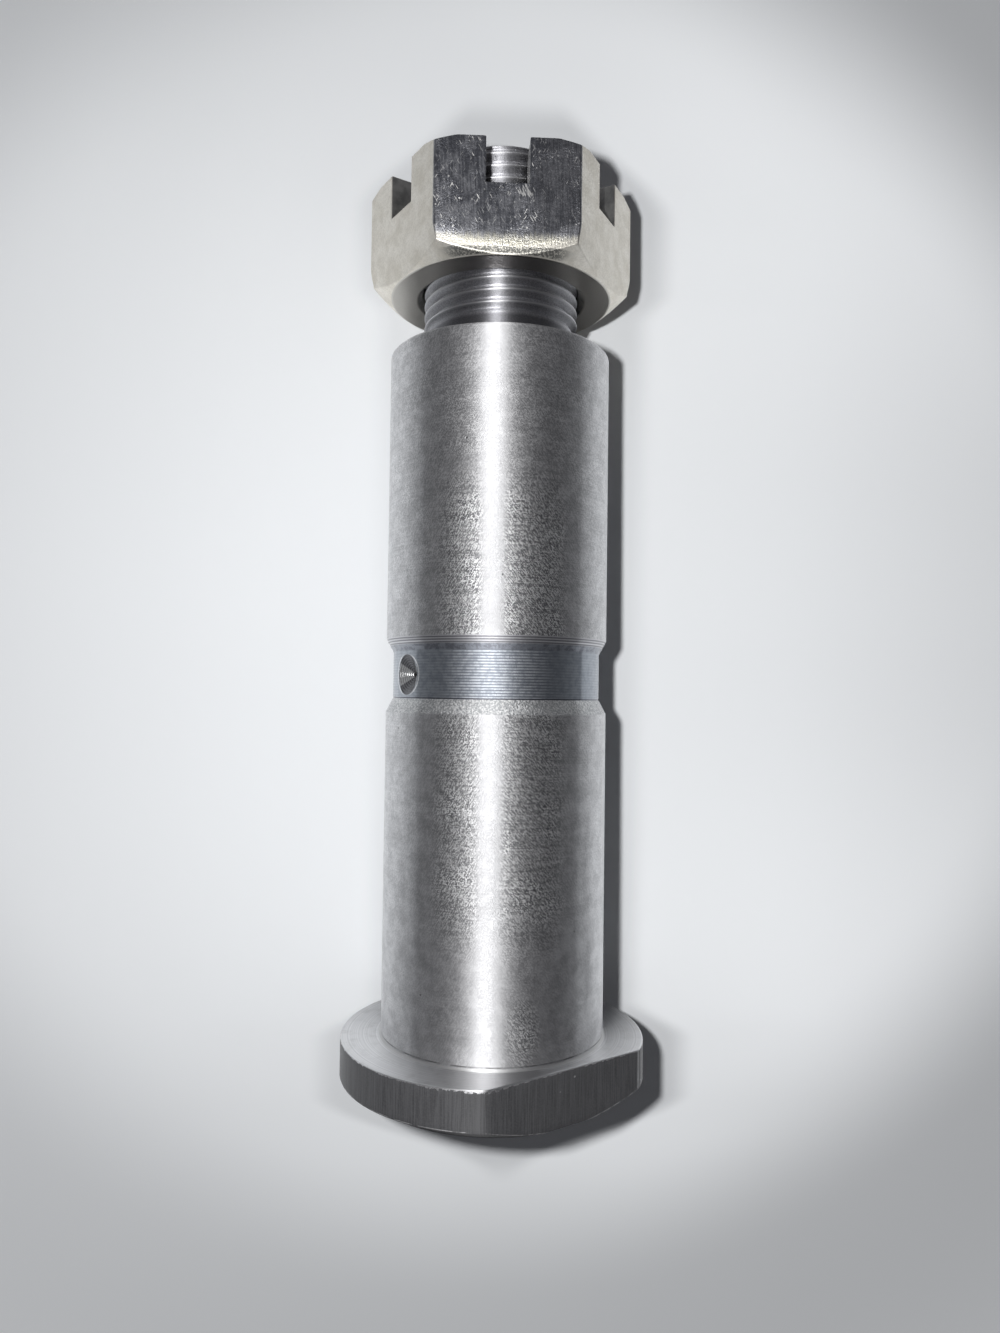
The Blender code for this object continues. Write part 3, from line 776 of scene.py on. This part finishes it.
# Painted shade: the bare flat darkens towards +X.
bare = blend_colours(tree, ramp(tree, side, 2.0, 4.0, 0.0, 0.45), bare, (0.12, 0.12, 0.13))
band_edge = sum_up(tree, "MULTIPLY_ADD", lines, 1.6, along)
rubbed = times(tree, ramp(tree, band_edge, 2.7, 1.5),
               ramp(tree, scuff["Height"], -0.12, 0.02, 0.6, 1.0))
bare = blend_colours(tree, rubbed, bare, (0.58, 0.56, 0.48))
colour = blend_colours(tree, on_top, colour, bare)
# Worn plating and painted shade: the middle of the seat cone's upper side is dark and speckled.
strip = times(tree, ramp(tree, from_middle, 8.5, 5.5), ramp(tree, up, 12.5, 13.2),
              between(tree, along, 0.20, 0.9, 0.08))
worn_and_shaded_cone = ramp(tree, scuff["Spots"], 0.5, 1.0)
worn_and_shaded_cone = blend_colours(tree, worn_and_shaded_cone, (0.16, 0.16, 0.15), (0.60, 0.58, 0.52))
colour = blend_colours(tree, times(tree, strip, 0.9), colour, worn_and_shaded_cone)
white = times(tree, on_top, highest(tree, bright, smear))
colour = blend_colours(tree, white, colour, (0.84, 0.83, 0.80))
metallic = sum_up(tree, "MULTIPLY_ADD", white, -0.7, 1.0)
rough = sum_up(tree, "MULTIPLY_ADD", on_seat, -0.08, rough)
height = sum_up(tree, "MULTIPLY_ADD", times(tree, lines, on_top), 0.05, height)
height = sum_up(tree, "MULTIPLY_ADD", times(tree, scuff["Height"], on_top), 0.05, height)
height = times(tree, height, rest_of(tree, on_seat))
connect(tree, shader, metallic, colour, rough, height)
nut.data.materials.clear()
nut.data.materials.append(nut_zinc)
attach(nut, "nut")
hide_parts("castle_nut")


# The paper, the flash, the room and the camera
# The pin lies on a large sheet of white paper. The camera looks almost straight down, and its
# flash sits just beside the lens.

CAMERA_AT = Vector((-0.0054, -0.0033, 0.1400))
camera_data = bpy.data.cameras.new("camera")
camera_data.sensor_fit, camera_data.sensor_height, camera_data.lens = "VERTICAL", 36, 25.88
camera_data.clip_start, camera_data.clip_end = 0.01, 20
camera = in_scene("camera", camera_data)
turn = Matrix(((0.99876, -0.01395, -0.04778),
               (0.01459, 0.99980, 0.01332),
               (0.04759, -0.01401, 0.99877)))
camera.matrix_world = Matrix.Translation(CAMERA_AT) @ turn.to_4x4()
bpy.context.scene.camera = camera

flash_data = bpy.data.lights.new("flash", "POINT")
flash_data.shadow_soft_size, flash_data.energy = 0.0025, 0.60
flash = in_scene("flash", flash_data)
flash.location = CAMERA_AT + Vector((-0.0145, 0.007, 0.0))
flash.visible_camera = False

paper_mesh = bpy.data.meshes.new("paper")
paper_mesh.from_pydata([(-2, -2, 0), (2, -2, 0), (2, 2, 0), (-2, 2, 0)], [], [(0, 1, 2, 3)])
paper = in_scene("paper", paper_mesh)
paper_white, tree, shader = new_look("paper_white")
shader.inputs["Base Color"].default_value = (0.89, 0.91, 0.93, 1)
shader.inputs["Roughness"].default_value = 0.9
shader.inputs["Specular IOR Level"].default_value = 0.1

# Away from the pin the paper shows pale to the camera and in the metal, as a lit backdrop would.
# The glow starts outside the pin and its shadow. Their half width on the paper is 16.5 mm, and
# changes by each row's last number between the two places along Y before it.
seen = add(tree, "LightPath").outputs
seen = highest(tree, seen["Is Camera Ray"], seen["Is Glossy Ray"], seen["Is Transmission Ray"])
parts = add(tree, "SeparateXYZ", {0: add(tree, "TexCoord").outputs["Object"]}).outputs
half = 0.0165
for start, end, more in ((-0.054, -0.060, 0.0075), (-0.068, -0.080, -0.024),
                         (0.045, 0.050, 0.003), (0.060, 0.077, -0.014)):
    half = sum_up(tree, "ADD", half, ramp(tree, parts[1], start, end, 0.0, more))
off_axis = unsigned(tree, sum_up(tree, "SUBTRACT", parts[0], 0.0025))
beside = highest(tree, sum_up(tree, "SUBTRACT", off_axis, half), 0.0)
off_middle = unsigned(tree, sum_up(tree, "ADD", parts[1], 0.002))
past_end = highest(tree, sum_up(tree, "SUBTRACT", off_middle, 0.075), 0.0)
away = sum_up(tree, "ADD", times(tree, past_end, past_end), times(tree, beside, beside))
away = sum_up(tree, "SQRT", away)
raised = sum_up(tree, "SUBTRACT", parts[1], 0.008)
from_centre = sum_up(tree, "ADD", times(tree, parts[0], parts[0]), times(tree, raised, raised))
from_centre = sum_up(tree, "SQRT", from_centre)
near = sum_up(tree, "ADD", ramp(tree, away, 0.0, 0.005, 0.0, 0.13),
              ramp(tree, away, 0.0, 0.030, 0.0, 0.04))
near = times(tree, near, ramp(tree, from_centre, 0.078, 0.108, 1.0, 0.0),
             ramp(tree, unsigned(tree, raised), 0.01, 0.06, 1.0, 1.7),
             ramp(tree, parts[0], -0.05, 0.03, 0.4, 1.0))
glow = times(tree, sum_up(tree, "ADD", near, ramp(tree, from_centre, 0.10, 0.20, 0.0, 0.30)), seen)
tree.links.new(glow, shader.inputs["Emission Strength"])
shader.inputs["Emission Color"].default_value = (0.96, 0.98, 1.0, 1)
paper_mesh.materials.append(paper_white)

# The room is dim. The camera sees a pale backdrop beyond the paper, and the metal mirrors a room
# that is paler near the horizon.
room = bpy.data.worlds.new("room")
room.use_nodes = True
tree = room.node_tree
background = tree.nodes["Background"]
seen = add(tree, "LightPath").outputs
parts = add(tree, "SeparateXYZ", {0: add(tree, "TexCoord").outputs["Generated"]}).outputs
to_right = ramp(tree, parts[0], -0.7, 0.7)
dim = blend_colours(tree, to_right, (0.17, 0.17, 0.18), (0.125, 0.125, 0.133))
mirrored = blend_colours(tree, ramp(tree, parts[2], 0.0, 0.09), (0.30, 0.31, 0.32), dim)
soft = blend_colours(tree, to_right, (0.12, 0.12, 0.127), (0.02, 0.02, 0.022))
colour = blend_colours(tree, seen["Is Glossy Ray"], soft, mirrored)
colour = blend_colours(tree, seen["Is Camera Ray"], colour, (0.66, 0.68, 0.70))
tree.links.new(colour, background.inputs["Color"])
bpy.context.scene.world = room
bpy.context.scene.view_settings.view_transform = "Standard"
